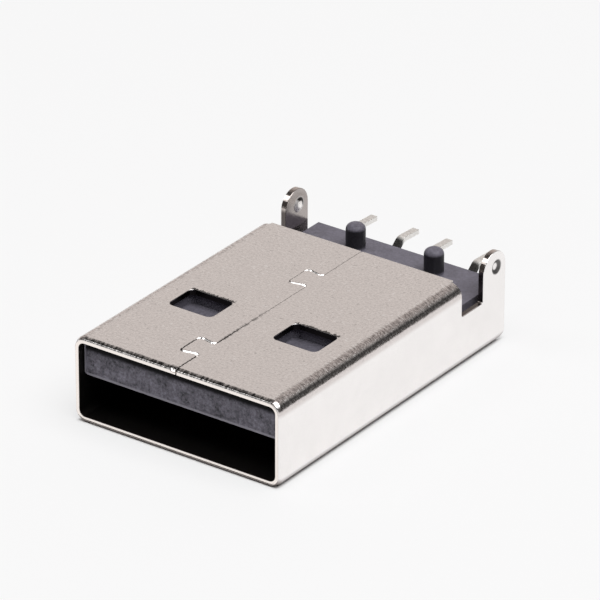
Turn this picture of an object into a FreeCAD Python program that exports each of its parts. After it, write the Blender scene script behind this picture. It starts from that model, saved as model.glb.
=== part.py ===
import FreeCAD, Part
import os
import types
import Sketcher

# Board-mounted USB type A plug, lying with its legs and pegs up.
# The mouth faces -Y, the solder tails point to +Y, and the flat closed side of the shell is on z = 0.
# Inside each sub-part y = 0 is the front rim; the placement then moves the middle of the plug to the origin.
# All sizes are in millimetres. A "setback" is measured from the front rim.
SIZES = {
    # Folded sheet shell
    "shell_width": 12.0,
    "shell_height": 4.5,
    "sheet": 0.3,
    "bend_radius": 0.64,
    "side_length": 18.62,
    "side_corner_radius": 0.7,
    "floor_inset": 0.95,
    "lead_in_depth": 0.1,
    "lead_in_length": 0.25,
    # Board legs, the notches before them and their pressed dimples
    "leg_width": 1.9,
    "leg_rise": 0.68,
    "notch_length": 1.82,
    "sill_drop": 0.1,
    "roof_overhang": 0.2,
    "dimple_inset": 0.77,
    "dimple_drop": 0.88,
    "dimple_radius": 0.43,
    "dimple_depth": 0.2,
    "bump_radius": 0.5,
    # Latch windows, two in the roof and two in the floor
    "window_spacing": 6.08,
    "window_width": 2.55,
    "window_length": 1.95,
    "window_setback": 5.15,
    "window_corner_radius": 0.3,
    # Seam in the roof and its two dovetail locks
    "seam_gap": 0.06,
    "lock_reach": 1.0,
    "lock_head": 1.6,
    "lock_neck": 1.15,
    "lock_radius": 0.16,
    "front_lock_setback": 2.45,
    "rear_lock_inset": 3.95,
    # Moulded insulator
    "fit_gap": 0.02,
    "tongue_thickness": 1.84,
    "tongue_recess": 0.38,
    "tongue_corner_radius": 0.2,
    "tongue_chamfer": 0.06,
    "cavity_depth": 9.7,
    "seat_height": 2.9,
    "block_overhang": 0.48,
    "block_side_gap": 0.3,
    "pocket_margin": 0.12,
    "pocket_depth": 0.5,
    "peg_spacing": 4.64,
    "peg_inset": 1.2,
    "peg_diameter": 1.0,
    "peg_height": 1.3,
    "peg_rounding": 0.3,
    # Contacts, the outer two longer than the inner two
    "outer_contact_spacing": 7.0,
    "inner_contact_spacing": 2.0,
    "outer_contact_setback": 1.2,
    "inner_contact_setback": 2.2,
    "contact_width": 1.0,
    "contact_thickness": 0.25,
    "contact_stand_off": 0.05,
    "slot_gap": 0.02,
    "blade_overlap": 1.5,
    "tail_width": 0.38,
    "tail_exit": 0.1,
    "knee_reach": 0.74,
    "knee_rise": 0.16,
    "foot_rise": 0.08,
    "tail_reach": 2.1,
    "tail_bend_radius": 0.3,
    "tail_bend_shift": 0.11,
}

# How far a cutting outline reaches past the material that it cuts
MARGIN = 1.0
NEAR = 1e-4


class Length:
    """A number together with the formula that ties it to the sheet of sizes."""

    def __init__(self, value, formula=None):
        self.value = float(value)
        self.formula = formula or f"({self.value})"

    def joined(self, other, value, sign):
        return Length(value, f"({self.formula} {sign} {other.formula})")

    def __add__(self, other):
        other = as_length(other)
        return self.joined(other, self.value + other.value, "+")

    def __sub__(self, other):
        other = as_length(other)
        return self.joined(other, self.value - other.value, "-")

    def __mul__(self, factor):
        factor = as_length(factor)
        return self.joined(factor, self.value * factor.value, "*")

    def __truediv__(self, divisor):
        divisor = as_length(divisor)
        return self.joined(divisor, self.value / divisor.value, "/")

    def __neg__(self):
        return Length(-self.value, f"(-1 * {self.formula})")


def as_length(item):
    return item if isinstance(item, Length) else Length(item)


def make_sheet(doc):
    """Write the sizes to a sheet and return them as lengths."""
    sheet = doc.addObject("Spreadsheet::Sheet", "Sizes")
    for row, (name, value) in enumerate(SIZES.items(), start=1):
        sheet.set(f"A{row}", name)
        sheet.set(f"B{row}", str(value))
        sheet.setAlias(f"B{row}", name)
    doc.recompute()
    return types.SimpleNamespace(**{name: Length(sheet.get(name), f"Sizes.{name}") for name in SIZES})


def add_derived(size):
    """Add the places that several sub-parts share."""
    size.inner_radius = size.bend_radius - size.sheet
    size.leg_setback = size.side_length - size.leg_width
    size.notch_setback = size.leg_setback - size.notch_length
    size.roof_length = size.notch_setback + size.roof_overhang
    size.sill_height = size.seat_height - size.sill_drop
    size.leg_height = size.shell_height + size.leg_rise
    size.block_length = size.side_length + size.block_overhang
    size.plug_length = size.block_length + size.tail_reach
    size.moulding_width = size.shell_width - (size.sheet + size.fit_gap) * 2
    size.moulding_bottom = size.sheet + size.fit_gap
    size.moulding_top = size.shell_height - size.sheet - size.fit_gap
    size.moulding_radius = size.inner_radius - size.fit_gap
    size.tongue_face = size.moulding_top - size.tongue_thickness
    size.blade_face = size.tongue_face - size.contact_stand_off
    size.blade_back = size.blade_face + size.contact_thickness
    size.blade_end = size.cavity_depth + size.blade_overlap


def add_body(doc, name, size, across=None):
    """Start a sub-part whose own y = 0 is the front rim, moved sideways by "across"."""
    body = doc.addObject("PartDesign::Body", name)
    body.Label = name
    across = as_length(across or 0)
    back = -(size.plug_length / 2)
    body.Placement.Base = FreeCAD.Vector(across.value, back.value, 0)
    body.setExpression("Placement.Base.x", across.formula)
    body.setExpression("Placement.Base.y", back.formula)
    return body


def add_sketch(body, name, plane, offset=None, lift=None):
    """Attach a sketch to one of the body's own planes, moved along the plane's normal by "offset".

    "lift" moves it along its own second direction as well.
    """
    sketch = body.newObject("Sketcher::SketchObject", name)
    support = next(item for item in body.Origin.OriginFeatures if item.Role == plane)
    sketch.AttachmentSupport = [(support, "")]
    sketch.MapMode = "FlatFace"
    offset = as_length(offset or 0)
    lift = as_length(lift or 0)
    sketch.AttachmentOffset.Base = FreeCAD.Vector(0, lift.value, offset.value)
    sketch.setExpression("AttachmentOffset.Base.y", lift.formula)
    sketch.setExpression("AttachmentOffset.Base.z", offset.formula)
    return sketch


def pin(sketch, edge, end, **places):
    """Hold one point of an edge at x and y from the sketch's origin."""
    for axis, place in places.items():
        constraint = Sketcher.Constraint("Distance" + axis, -1, 1, edge, end, place.value)
        index = sketch.addConstraint(constraint)
        sketch.setExpression(f"Constraints[{index}]", place.formula)


def direction(start, finish):
    """Sign of the way from one corner to the next, for corners joined along an axis."""
    steps = [finish[axis].value - start[axis].value for axis in (0, 1)]
    return [0 if abs(step) < NEAR else (1 if step > 0 else -1) for step in steps]


def loop_points(corners):
    """Turn corners (x, y) or (x, y, radius) into points, each with the arc centre that follows it.

    A corner with a radius must join one side along x and one along y.
    """
    points = []
    for index, corner in enumerate(corners):
        x, y = (as_length(item) for item in corner[:2])
        if len(corner) == 2:
            points.append((x, y, None))
            continue
        radius = as_length(corner[2])
        before = [as_length(item) for item in corners[index - 1][:2]]
        after = [as_length(item) for item in corners[(index + 1) % len(corners)][:2]]
        back = direction((x, y), before)
        ahead = direction((x, y), after)
        centre = (x + radius * (back[0] + ahead[0]), y + radius * (back[1] + ahead[1]))
        points.append((x + radius * back[0], y + radius * back[1], centre))
        points.append((x + radius * ahead[0], y + radius * ahead[1], None))
    return [point for index, point in enumerate(points) if not repeats(point, points[(index + 1) % len(points)])]


def repeats(point, following):
    """True for a point that is followed by the same point, as at the top of a full round end."""
    same = abs(point[0].value - following[0].value) < NEAR and abs(point[1].value - following[1].value) < NEAR
    return same and point[2] is None


def arc_of(start, finish, centre):
    """A quarter arc, and whether it runs from start to finish against the clock."""
    middle = FreeCAD.Vector(centre[0].value, centre[1].value, 0)
    first = FreeCAD.Vector(start[0].value, start[1].value, 0) - middle
    second = FreeCAD.Vector(finish[0].value, finish[1].value, 0) - middle
    forward = first.x * second.y - first.y * second.x > 0
    circle = Part.Circle(middle, FreeCAD.Vector(0, 0, 1), first.Length)
    ends = (first, second) if forward else (second, first)
    angles = [circle.parameter(middle + end) for end in ends]
    return Part.ArcOfCircle(circle, *angles), forward


def add_loop(sketch, corners):
    """Draw one closed outline and tie every point of it to the sheet."""
    points = loop_points(corners)
    edges = []
    for index, point in enumerate(points):
        following = points[(index + 1) % len(points)]
        if point[2] is None:
            ends = [FreeCAD.Vector(item[0].value, item[1].value, 0) for item in (point, following)]
            edge = sketch.addGeometry(Part.LineSegment(*ends), False)
            edges.append((edge, 1, 2))
        else:
            arc, forward = arc_of(point, following, point[2])
            edge = sketch.addGeometry(arc, False)
            edges.append((edge, 1, 2) if forward else (edge, 2, 1))
            pin(sketch, edge, 3, X=point[2][0])
        pin(sketch, edge, edges[-1][1], X=point[0], Y=point[1])
    for index, (edge, _, end) in enumerate(edges):
        following, start, _ = edges[(index + 1) % len(edges)]
        sketch.addConstraint(Sketcher.Constraint("Coincident", edge, end, following, start))


def add_rectangle(sketch, left, right, near, far, radius=None):
    corners = [(left, near), (right, near), (right, far), (left, far)]
    add_loop(sketch, [corner + ((radius,) if radius else ()) for corner in corners])


def add_circle(sketch, x, y, radius):
    centre = FreeCAD.Vector(x.value, y.value, 0)
    edge = sketch.addGeometry(Part.Circle(centre, FreeCAD.Vector(0, 0, 1), radius.value), False)
    pin(sketch, edge, 3, X=x, Y=y)
    index = sketch.addConstraint(Sketcher.Constraint("Radius", edge, radius.value))
    sketch.setExpression(f"Constraints[{index}]", radius.formula)


def extrude(body, kind, sketch, name, length, reverse=False, symmetric=False):
    """Add a pad or a pocket of a sketch; a pad follows the sketch's normal, a pocket goes against it."""
    feature = body.newObject("PartDesign::" + kind, name)
    feature.Profile = sketch
    feature.SideType = "Symmetric" if symmetric else "One side"
    feature.Reversed = reverse
    feature.Length = length.value
    feature.setExpression("Length", length.formula)
    return feature


def turn(body, kind, sketch, name):
    """Revolve a sketch once about its own first axis, adding or cutting."""
    feature = body.newObject("PartDesign::" + kind, name)
    feature.Profile = sketch
    feature.ReferenceAxis = (sketch, ["H_Axis"])
    feature.Angle = 360
    return feature


def round_edges(doc, body, name, radius, wanted):
    """Round the edges of the body so far that pass the test "wanted"."""
    doc.recompute()
    base = body.Tip
    names = [f"Edge{number}" for number, edge in enumerate(base.Shape.Edges, start=1) if wanted(edge)]
    feature = body.newObject("PartDesign::Fillet", name)
    feature.Base = (base, names)
    feature.Radius = radius.value
    feature.setExpression("Radius", radius.formula)
    return feature


# Shell: one sheet folded round, closed along a seam in the roof


def add_tube(doc, body, size):
    """The closed tube up to the roof's rear edge, with its front rim sloped outside."""
    half = size.shell_width / 2
    sketch = add_sketch(body, "tube_section", "XZ_Plane")
    add_rectangle(sketch, -half, half, as_length(0), size.shell_height, size.bend_radius)
    inside = half - size.sheet
    add_rectangle(sketch, -inside, inside, size.sheet, size.shell_height - size.sheet, size.inner_radius)
    extrude(body, "Pad", sketch, "tube", size.roof_length, reverse=True)
    doc.recompute()
    tube = body.Tip
    front = min(tube.Shape.Faces, key=lambda face: face.CenterOfMass.y)
    rim = [edge.hashCode() for edge in front.OuterWire.Edges]
    names = [f"Edge{number}" for number, edge in enumerate(tube.Shape.Edges, start=1) if edge.hashCode() in rim]
    slope = body.newObject("PartDesign::Chamfer", "lead_in")
    slope.Base = (tube, names)
    slope.ChamferType = "Two distances"
    slope.Size = size.lead_in_length.value
    slope.Size2 = size.lead_in_depth.value
    slope.setExpression("Size", size.lead_in_length.formula)
    slope.setExpression("Size2", size.lead_in_depth.formula)


def add_rear_walls(body, size):
    """The notches, the floor and low side walls behind the tube, and the round lower corners."""
    half = size.shell_width / 2
    sketch = add_sketch(body, "notch_plan", "XY_Plane", size.sill_height)
    for side in (-1, 1):
        inner = (half - size.bend_radius) * side
        outer = (half + MARGIN) * side
        left, right = sorted((inner, outer), key=lambda item: item.value)
        add_rectangle(sketch, left, right, size.notch_setback, size.roof_length + MARGIN)
    extrude(body, "Pocket", sketch, "notches", size.shell_height, reverse=True)
    inside = half - size.sheet
    sketch = add_sketch(body, "channel_section", "XZ_Plane", -size.notch_setback)
    add_loop(sketch, [
        (-half, size.sill_height),
        (-half, 0, size.bend_radius),
        (half, 0, size.bend_radius),
        (half, size.sill_height),
        (inside, size.sill_height),
        (inside, size.sheet, size.inner_radius),
        (-inside, size.sheet, size.inner_radius),
        (-inside, size.sill_height),
    ])
    extrude(body, "Pad", sketch, "channel", size.side_length - size.notch_setback, reverse=True)
    sketch = add_sketch(body, "floor_end_plan", "XY_Plane")
    flat = half - size.bend_radius
    far = size.side_length + MARGIN
    add_rectangle(sketch, -flat, flat, size.side_length - size.floor_inset, far)
    extrude(body, "Pocket", sketch, "floor_end", size.sheet * 2, symmetric=True)


def add_legs(body, size):
    """The two board legs in the planes of the side walls, each with a dimple pressed inwards."""
    half = size.shell_width / 2
    tip = size.leg_width / 2
    for side, inner in (("left", -half), ("right", half - size.sheet)):
        sketch = add_sketch(body, f"leg_outline_{side}", "YZ_Plane", inner)
        add_loop(sketch, [
            (size.leg_setback, size.sill_height / 2),
            (size.side_length, size.sill_height / 2),
            (size.side_length, size.leg_height, tip),
            (size.leg_setback, size.leg_height, tip),
        ])
        extrude(body, "Pad", sketch, f"leg_{side}", size.sheet)
    add_lower_corners(body, size)
    centre = (size.leg_height - size.dimple_drop, size.side_length - size.dimple_inset)
    bump = add_sketch(body, "bump_profile", "XY_Plane", *centre)
    pit = add_sketch(body, "dimple_profile", "XY_Plane", *centre)
    for side in (-1, 1):
        inside = half - size.sheet
        add_loop(bump, [
            ((inside + size.sheet / 2) * side, 0),
            ((inside - size.dimple_depth) * side, 0),
            ((inside - size.dimple_depth) * side, size.bump_radius / 2),
            (inside * side, size.bump_radius),
            ((inside + size.sheet / 2) * side, size.bump_radius),
        ])
        add_loop(pit, [
            ((half + MARGIN) * side, 0),
            ((half - size.dimple_depth) * side, 0),
            ((half - size.dimple_depth) * side, size.dimple_radius / 2),
            (half * side, size.dimple_radius),
            ((half + MARGIN) * side, size.dimple_radius),
        ])
    turn(body, "Revolution", bump, "bumps")
    turn(body, "Groove", pit, "dimples")


def add_lower_corners(body, size):
    """Cut the low rear corners of the side walls round."""
    radius = size.side_corner_radius
    start = size.side_length - radius
    far = size.side_length + MARGIN
    sketch = add_sketch(body, "corner_side", "YZ_Plane")
    add_loop(sketch, [
        (start, -MARGIN),
        (far, -MARGIN),
        (far, radius),
        (size.side_length, radius),
        (size.side_length, 0, radius),
        (start, 0),
    ])
    extrude(body, "Pocket", sketch, "lower_corners", size.shell_width * 2, symmetric=True)


def add_windows(body, size):
    """Four round-cornered latch windows, cut through roof and floor together."""
    sketch = add_sketch(body, "window_plan", "XY_Plane")
    for side in (-1, 1):
        middle = size.window_spacing / 2 * side
        add_rectangle(
            sketch,
            middle - size.window_width / 2,
            middle + size.window_width / 2,
            size.window_setback,
            size.window_setback + size.window_length,
            size.window_corner_radius,
        )
    extrude(body, "Pocket", sketch, "windows", size.shell_height * 3, symmetric=True)


def add_seam(doc, body, size):
    """The gap between the sheet's two ends, stepping round two dovetail locks with round corners."""
    gap = size.seam_gap
    edge = gap / 2
    neck = size.lock_neck / 2
    head = size.lock_head / 2
    right_side = [(edge, as_length(-MARGIN))]
    left_side = [(-edge, as_length(-MARGIN))]
    points = []
    hollows = []
    for middle in (size.front_lock_setback, size.roof_length - size.rear_lock_inset):
        tongue = lock_corners(middle, neck, head, edge, -size.lock_reach)
        socket = lock_corners(middle, neck + gap, head + gap, -edge, -size.lock_reach - gap)
        right_side += tongue
        left_side += socket
        points += tongue[1:3] + [socket[0], socket[3]]
        hollows += socket[1:3] + [tongue[0], tongue[3]]
    right_side.append((edge, size.roof_length + MARGIN))
    left_side.append((-edge, size.roof_length + MARGIN))
    sketch = add_sketch(body, "seam_plan", "XY_Plane", size.shell_height + size.sheet / 2)
    add_loop(sketch, right_side + left_side[::-1])
    extrude(body, "Pocket", sketch, "seam", size.sheet * 2)
    round_edges(doc, body, "lock_points", size.lock_radius, lambda edge: is_upright(edge, points))
    round_edges(doc, body, "lock_hollows", size.lock_radius + gap, lambda edge: is_upright(edge, hollows))


def lock_corners(middle, neck, head, root, tip):
    """The four corners of a dovetail, from the front: narrow at its root and wide at its tip."""
    return [(root, middle - neck), (tip, middle - head), (tip, middle + head), (root, middle + neck)]


def is_upright(edge, places):
    """An edge along z at one of the places (x, y)."""
    box = edge.BoundBox
    if box.XLength + box.YLength > NEAR:
        return False
    return any(abs(box.XMax - x.value) < NEAR and abs(box.YMax - y.value) < NEAR for x, y in places)


def make_shell(doc, size):
    body = add_body(doc, "shell", size)
    add_tube(doc, body, size)
    add_rear_walls(body, size)
    add_legs(body, size)
    add_windows(body, size)
    add_seam(doc, body, size)


# Housing: the moulded insulator with its tongue, root, board seat and pegs


def add_tongue(doc, body, size):
    """The tongue against the roof, with a small chamfer along its lower front edge."""
    half = size.moulding_width / 2
    sketch = add_sketch(body, "tongue_section", "XZ_Plane", -size.tongue_recess)
    add_loop(sketch, [
        (-half, size.tongue_face, size.tongue_corner_radius),
        (half, size.tongue_face, size.tongue_corner_radius),
        (half, size.moulding_top, size.moulding_radius),
        (-half, size.moulding_top, size.moulding_radius),
    ])
    extrude(body, "Pad", sketch, "tongue", size.cavity_depth - size.tongue_recess, reverse=True)
    doc.recompute()
    tongue = body.Tip
    lowest = min(front_edges(tongue.Shape), key=lambda item: item[1].CenterOfMass.z)
    chamfer = body.newObject("PartDesign::Chamfer", "tongue_edge")
    chamfer.Base = (tongue, [lowest[0]])
    chamfer.Size = size.tongue_chamfer.value
    chamfer.setExpression("Size", size.tongue_chamfer.formula)


def front_edges(shape):
    """Names and edges round a shape's front face."""
    front = min(shape.Faces, key=lambda face: face.CenterOfMass.y)
    rim = [edge.hashCode() for edge in front.Edges]
    named = [(f"Edge{number}", edge) for number, edge in enumerate(shape.Edges, start=1)]
    return [(name, edge) for name, edge in named if edge.hashCode() in rim]


def add_root_and_block(body, size):
    """The root that fills the tube behind the cavity, and the lower block that carries the board."""
    half = size.moulding_width / 2
    radius = size.moulding_radius
    sketch = add_sketch(body, "root_section", "XZ_Plane", -size.cavity_depth)
    add_rectangle(sketch, -half, half, size.moulding_bottom, size.moulding_top, radius)
    extrude(body, "Pad", sketch, "root", size.roof_length - size.cavity_depth, reverse=True)
    half = size.shell_width / 2 - size.sheet - size.block_side_gap
    sketch = add_sketch(body, "block_section", "XZ_Plane", -size.roof_length)
    add_loop(sketch, [
        (-half, size.moulding_bottom, radius),
        (half, size.moulding_bottom, radius),
        (half, size.seat_height),
        (-half, size.seat_height),
    ])
    extrude(body, "Pad", sketch, "block", size.block_length - size.roof_length, reverse=True)


def add_pegs(doc, body, size):
    """Two locating pegs with rounded tops, standing on the board seat."""
    sketch = add_sketch(body, "peg_plan", "XY_Plane", size.seat_height)
    for side in (-1, 1):
        across = size.peg_spacing / 2 * side
        add_circle(sketch, across, size.block_length - size.peg_inset, size.peg_diameter / 2)
    extrude(body, "Pad", sketch, "pegs", size.peg_height)
    top = (size.seat_height + size.peg_height).value
    round_edges(doc, body, "peg_tops", size.peg_rounding, lambda edge: edge.BoundBox.ZMin > top - NEAR)


def add_window_pockets(body, size):
    """Shallow pockets behind the roof windows, where the latch springs drop in."""
    sketch = add_sketch(body, "pocket_plan", "XY_Plane", size.moulding_top)
    reach = size.window_width / 2 + size.pocket_margin
    for side in (-1, 1):
        middle = size.window_spacing / 2 * side
        add_rectangle(
            sketch,
            middle - reach,
            middle + reach,
            size.window_setback - size.pocket_margin,
            size.window_setback + size.window_length + size.pocket_margin,
            size.window_corner_radius,
        )
    extrude(body, "Pocket", sketch, "window_pockets", size.pocket_depth)


def contact_places(size):
    """Name, middle in x and setback of each contact, from left to right."""
    outer = size.outer_contact_spacing / 2
    inner = size.inner_contact_spacing / 2
    return [
        ("contact_outer_left", -outer, size.outer_contact_setback),
        ("contact_inner_left", -inner, size.inner_contact_setback),
        ("contact_inner_right", inner, size.inner_contact_setback),
        ("contact_outer_right", outer, size.outer_contact_setback),
    ]


def add_contact_slots(body, size):
    """A wide groove for each blade and a narrow slot for its tail, right through to the rear."""
    sketch = add_sketch(body, "slot_plan", "XY_Plane", size.blade_face - size.slot_gap)
    wide = size.contact_width / 2 + size.slot_gap
    narrow = size.tail_width / 2 + size.slot_gap
    for _, middle, setback in contact_places(size):
        add_loop(sketch, [
            (middle - wide, setback - size.slot_gap),
            (middle + wide, setback - size.slot_gap),
            (middle + wide, size.blade_end + size.slot_gap),
            (middle + narrow, size.blade_end + size.slot_gap),
            (middle + narrow, size.block_length + MARGIN),
            (middle - narrow, size.block_length + MARGIN),
            (middle - narrow, size.blade_end + size.slot_gap),
            (middle - wide, size.blade_end + size.slot_gap),
        ])
    extrude(body, "Pocket", sketch, "contact_slots", size.contact_thickness + size.slot_gap, reverse=True)


def make_housing(doc, size):
    body = add_body(doc, "housing", size)
    add_tongue(doc, body, size)
    add_root_and_block(body, size)
    add_pegs(doc, body, size)
    add_window_pockets(body, size)
    add_contact_slots(body, size)


# Contacts: a flat blade under the tongue and a narrow tail that rises to a solder foot


def make_contact(doc, size, name, across, setback):
    body = add_body(doc, name, size, across)
    blade = size.contact_width / 2
    sketch = add_sketch(body, name + "_blade_plan", "XY_Plane", size.blade_face)
    add_rectangle(sketch, -blade, blade, setback, size.blade_end)
    extrude(body, "Pad", sketch, name + "_blade", size.contact_thickness)
    thick = size.contact_thickness
    shift = size.tail_bend_shift
    exit_end = size.block_length + size.tail_exit
    knee = size.block_length + size.knee_reach
    knee_top = size.seat_height + size.knee_rise
    foot_top = size.seat_height + size.foot_rise
    sketch = add_sketch(body, name + "_tail_side", "YZ_Plane")
    add_loop(sketch, [
        (size.blade_end, size.blade_face),
        (exit_end + shift, size.blade_face),
        (knee + shift, knee_top - thick),
        (size.plug_length, foot_top - thick),
        (size.plug_length, foot_top),
        (knee, knee_top),
        (exit_end, size.blade_back),
        (size.blade_end, size.blade_back),
    ])
    extrude(body, "Pad", sketch, name + "_tail", size.tail_width, symmetric=True)
    bends = {
        "inner": (size.tail_bend_radius, (exit_end, size.blade_back), (knee + shift, knee_top - thick)),
        "outer": (size.tail_bend_radius + thick, (exit_end + shift, size.blade_face), (knee, knee_top)),
    }
    for side, (radius, *places) in bends.items():
        round_edges(doc, body, f"{name}_{side}_bends", radius, lambda edge: is_bend(edge, places))


def is_bend(edge, places):
    """An edge along x at one of the places (y, z)."""
    box = edge.BoundBox
    if box.XLength < NEAR:
        return False
    return any(abs(box.YMax - y.value) < NEAR and abs(box.ZMax - z.value) < NEAR for y, z in places)


def check(doc):
    """Stop if a feature failed, a cut took nothing away, or a sub-part is not one valid solid."""
    for item in doc.Objects:
        if "Invalid" in item.State or "Error" in item.State:
            raise RuntimeError(f"{item.Name} is not valid: {item.State}")
        if item.TypeId in ("PartDesign::Pocket", "PartDesign::Groove"):
            if item.Shape.Volume >= item.BaseFeature.Shape.Volume - NEAR:
                raise RuntimeError(f"{item.Name} cuts nothing")
    for body in doc.findObjects("PartDesign::Body"):
        shape = body.Shape
        if shape.isNull() or not shape.isValid() or len(shape.Solids) != 1:
            raise RuntimeError(f"{body.Label} is not one valid solid")


def main():
    doc = FreeCAD.newDocument("usb_plug")
    size = make_sheet(doc)
    add_derived(size)
    make_shell(doc, size)
    make_housing(doc, size)
    for name, across, setback in contact_places(size):
        make_contact(doc, size, name, across, setback)
    doc.recompute()
    check(doc)
    os.makedirs("parts", exist_ok=True)
    for body in doc.findObjects("PartDesign::Body"):
        body.Shape.exportStep(f"parts/{body.Label}.step")
        print(body.Label, round(body.Shape.Volume, 4), body.Shape.BoundBox)


main()
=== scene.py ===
import bpy
import numpy as np
from mathutils import Matrix, Vector
from mathutils.geometry import delaunay_2d_cdt


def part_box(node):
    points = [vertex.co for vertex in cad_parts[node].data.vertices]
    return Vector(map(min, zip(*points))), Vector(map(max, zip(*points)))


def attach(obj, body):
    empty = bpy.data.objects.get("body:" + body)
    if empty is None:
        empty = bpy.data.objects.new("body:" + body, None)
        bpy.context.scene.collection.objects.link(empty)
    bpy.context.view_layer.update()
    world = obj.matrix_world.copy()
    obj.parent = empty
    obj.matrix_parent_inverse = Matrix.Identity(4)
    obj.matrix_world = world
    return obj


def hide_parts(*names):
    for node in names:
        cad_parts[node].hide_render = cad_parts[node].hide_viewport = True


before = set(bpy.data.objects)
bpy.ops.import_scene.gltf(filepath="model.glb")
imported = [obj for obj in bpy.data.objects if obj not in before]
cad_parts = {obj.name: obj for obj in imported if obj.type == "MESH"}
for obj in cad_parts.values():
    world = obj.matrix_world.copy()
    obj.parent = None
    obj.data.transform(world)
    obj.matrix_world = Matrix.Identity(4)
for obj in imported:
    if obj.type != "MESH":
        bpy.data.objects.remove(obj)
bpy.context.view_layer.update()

# Board-mounted plug: a folded sheet shell round a dark moulding, with four contacts.
# Lengths are in millimetres and become metres when a mesh is made. In the pieces' own shapes y runs back from
# the shell's front rim.
MM = 0.001
SHELL_LOW, SHELL_HIGH = (np.array(corner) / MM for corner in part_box("shell"))
FRONT = SHELL_LOW[1]
HALF_WIDTH = SHELL_HIGH[0]
SIDE_END = SHELL_HIGH[1] - FRONT
LEG_TOP = SHELL_HIGH[2]

# Folded sheet, whose outer face drops to the front rim by a power of the way
HEIGHT = 4.5
SHEET = 0.3
BEND = 0.64
QUARTER = np.pi / 2
LEAD_DEPTH = 0.1
LEAD_LENGTH = 0.25
LEAD_POWER = 1.4
ROOF_END = 15.1
NOTCH_FRONT = 14.9
SILL = 2.8
LEG_WIDTH = 1.9
FLOOR_INSET = 0.95
LOWER_CORNER = 0.7
FOLD_END = (NOTCH_FRONT + SIDE_END - LEG_WIDTH) / 2

# Tongue
TONGUE_RECESS = 0.38
TONGUE_FACE = 2.34

# Locating pegs and tails
PEG_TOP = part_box("housing")[1][2] / MM
PEG_HEIGHT = 1.3
KNEE_REACH = 0.74
TAIL_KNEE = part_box("housing")[1][1] / MM + KNEE_REACH

# Broken edges of the moulding and the contacts
MOULDING_EDGE = 0.04
CONTACT_EDGE = 0.02

# Ways round the section, on its outer face from the middle of the floor. A height up a side wall counts from
# WALL_FOOT.
FOOT_RUN = HALF_WIDTH - BEND
WALL_RUN = FOOT_RUN + BEND * QUARTER
WALL_FOOT = WALL_RUN - BEND
TOP_RUN = WALL_RUN + HEIGHT - 2 * BEND
ROOF_RUN = TOP_RUN + BEND * QUARTER
SEAM_RUN = ROOF_RUN + FOOT_RUN

# Latch windows
WINDOW_MIDDLE = 3.04
WINDOW_WIDTH = 2.55
WINDOW_FRONT = 5.15
WINDOW_LENGTH = 1.95
WINDOW_END = WINDOW_FRONT + WINDOW_LENGTH
WINDOW_RADIUS = 0.3

# Seam and locks. Behind the first lock the seam closes over a length. Darker dashes lie beside it between the
# first and the last of four places, fully so between the middle two.
SEAM_GAP = 0.05
SEAM_CLOSED = 0.004
CLOSING_LENGTH = 3
DASH_PLACES = (3.3, 3.7, 5.5, 8.5)
LOCK_PLACES = (2.45, ROOF_END - 3.95)
LOCK_REACH = 1.0
LOCK_HEAD = 1.6
LOCK_NECK = 1.15
LOCK_RADIUS = 0.22

# Pressed dimples in the legs, each a hollow on the outer face and a lower bump on the inner one
DIMPLE_INSET = 0.77
DIMPLE_DROP = 0.88
DIMPLE_RUN = WALL_FOOT + LEG_TOP - DIMPLE_DROP
DIMPLE_Y = SIDE_END - DIMPLE_INSET
DIMPLE_RADIUS = 0.43
DIMPLE_DEPTH = 0.12
DIMPLE_FLAT = 0.15
BUMP_HEIGHT = 0.08

# Cut edges: rolled over on the outer face, widest where a lock faces the mouth, with a small break on the
# inner one. Between RIM_FADE's two places the front rim's roll narrows to the windows' roll.
ROLL = 0.055
RIM_FADE = (0.2, 0.6)
WINDOW_ROLL = 0.02
SEAM_ROLL = 0.02
LOCK_ROLL = 0.15
BREAK = 0.02

# Torn edges of the seam: two sine waves, each with its turns along y and round the section
RAGGED = 0.008
RAGGED_WAVES = ((19, 9), (34, -13))

# The left sheet's front corner by the seam, pressed down: its reach along the rim, the length over which it
# sets in, and how far from y = 0 a point still counts as on the rim
CORNER_REACH = 0.4
CORNER_FADE = 0.15
ON_RIM = 0.01

# Plate, with painted shade at its foot, folds, dimples and inner faces, and its cut edges as painted lit
# and shaded copies
NICKEL = (0.938, 0.909, 0.895)
FOOT_SHADE_COLOUR = (0.23, 0.195, 0.188)
FOLD_SHADE_TINT = (0.80, 0.765, 0.755)
DARK_SHADED_CUT = (0.04, 0.036, 0.034)
DIM_SHADED_CUT = (0.12, 0.105, 0.10)
LIT_LEG_CUT = (0.60, 0.54, 0.51)
LIT_RIM_CUT = (0.97, 0.90, 0.85)
TUBE_SHADE = (0.04, 0.036, 0.034)
LEG_INSIDE_SHADE = (0.42, 0.38, 0.365)
BUMP_SHADE = (0.05, 0.045, 0.043)

# Moulding with a painted highlight on its tongue face's edges, and tails painted in shade up to their bend
MOULDING = (0.125, 0.118, 0.145)
EDGE_HIGHLIGHT = (0.27, 0.26, 0.30)
TIN = (0.97, 0.95, 0.92)
TAIL_SHADE = (0.05, 0.048, 0.046)

# Light: the dark studio, its two walls, the floor, and how much the floor's even tone hides its shadows
DARK_STUDIO = (0.055, 0.051, 0.049)
GREY_WALL = (0.287, 0.262, 0.251)
PALE_WALL = (0.635, 0.584, 0.558)
FLOOR = (0.93, 0.93, 0.93)
FLOOR_TONE = (0.94, 0.94, 0.943)
FLOOR_GLOW = 0.75

# The photograph's view: azimuth and elevation, roll, the point that it looks at, distance and lens
VIEW_WAY = (35.448, 27.147)
VIEW_ROLL = 0.185
VIEW_POINT = (1.365, -2.559, 5.194)
VIEW_DISTANCE = 277.257
VIEW_LENS = 351.8


# Shell


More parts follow.
